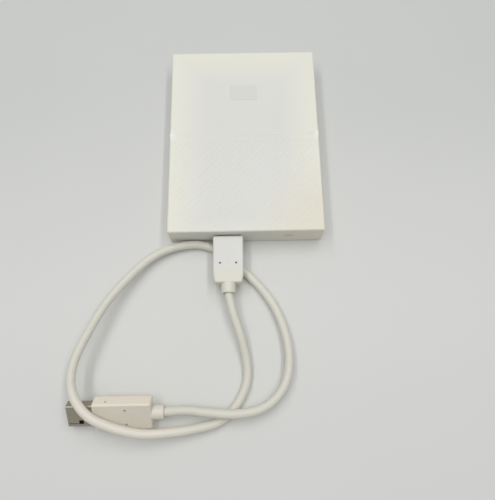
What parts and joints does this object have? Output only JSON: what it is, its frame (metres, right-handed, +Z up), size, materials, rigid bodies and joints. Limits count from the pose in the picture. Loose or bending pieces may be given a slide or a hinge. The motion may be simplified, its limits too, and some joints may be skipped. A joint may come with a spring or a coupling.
{
  "type": "portable external hard drive",
  "caption": "Flat rectangular portable disk drive in a white ribbed plastic case, with a cream data cable that ends in a loose flat plug; the disk and the head arm inside can turn.",
  "frame": {"origin": "on the surface that the drive stands on, under the middle of the case", "axes": "+Z up through the top cover, +Y along the case away from the port, +X to the right as seen from the port"},
  "size_m": [0.1267, 0.209, 0.0194],
  "materials": {
    "case_plastic": "fine-textured",
    "soft_rubber": "matt",
    "light_plastic": "milky",
    "cast_aluminium": "as cast",
    "stamped_steel": "rolled",
    "turned_steel": "turned",
    "core_steel": "stacked sheet",
    "disk_coating": "polished",
    "magnet_plating": "nickel plated",
    "copper_winding": "enamelled",
    "gasket_rubber": "matt",
    "slider_ceramic": "polished",
    "ramp_plastic": "plain",
    "filter_cloth": "felted",
    "ribbon_film": "amber",
    "board_laminate": "lacquered",
    "film_sheet": "smooth",
    "chip_epoxy": "moulded",
    "lamp_epoxy": "clear",
    "plug_plating": "dull nickel",
    "port_plastic": "plain",
    "insulator_plastic": "plain",
    "contact_gold": "gold plated",
    "moulding_vinyl": "moulded",
    "cable_vinyl": "smooth"
  },
  "bodies": {
    "housing": {"top_cover": "case_plastic", "bottom_tray": "case_plastic", "rubber_feet": "soft_rubber", "bumper_front_left": "soft_rubber", "bumper_front_right": "soft_rubber", "bumper_rear_left": "soft_rubber", "bumper_rear_right": "soft_rubber", "crash_stops": "soft_rubber", "light_pipe": "light_plastic", "base_casting": "cast_aluminium", "mechanism_lid": "stamped_steel", "lower_yoke": "stamped_steel", "upper_yoke": "stamped_steel", "bearing_sleeve": "turned_steel", "pivot_shaft": "turned_steel", "motor_stator": "core_steel", "lower_magnet": "magnet_plating", "upper_magnet": "magnet_plating", "lid_gasket": "gasket_rubber", "load_ramp": "ramp_plastic", "ribbon_bracket": "ramp_plastic", "air_filter": "filter_cloth", "flex_ribbon": "ribbon_film", "circuit_board": "board_laminate", "board_film": "film_sheet", "controller_chip": "chip_epoxy", "memory_chip": "chip_epoxy", "driver_chip": "chip_epoxy", "activity_lamp": "lamp_epoxy", "port_shell": "plug_plating", "front_plug_end": "plug_plating", "flat_plug_end": "plug_plating", "port_tongue": "port_plastic", "flat_plug_insulator": "insulator_plastic", "flat_plug_contacts": "contact_gold", "front_plug_moulding": "moulding_vinyl", "flat_plug_moulding": "moulding_vinyl", "data_cable": "cable_vinyl"},
    "spindle": {"spindle_hub": "turned_steel", "rotor_magnet": "magnet_plating", "platter": "disk_coating", "disk_clamp": "stamped_steel"},
    "actuator": {"pivot_sleeve": "turned_steel", "actuator_arm": "cast_aluminium", "voice_coil": "copper_winding", "lower_suspension": "stamped_steel", "upper_suspension": "stamped_steel", "head_sliders": "slider_ceramic"}
  },
  "joints": [
    {"name": "spindle_spin", "type": "hinge", "parent": "housing", "child": "spindle", "pos_m": [0, 0.01388, 0.01068], "axis": [0, 0, 1], "continuous": true},
    {"name": "actuator_swing", "type": "hinge", "parent": "housing", "child": "actuator", "pos_m": [0.01302, -0.02552, 0.01068], "axis": [0, 0, -1], "range_deg": [0, 34]}
  ]
}
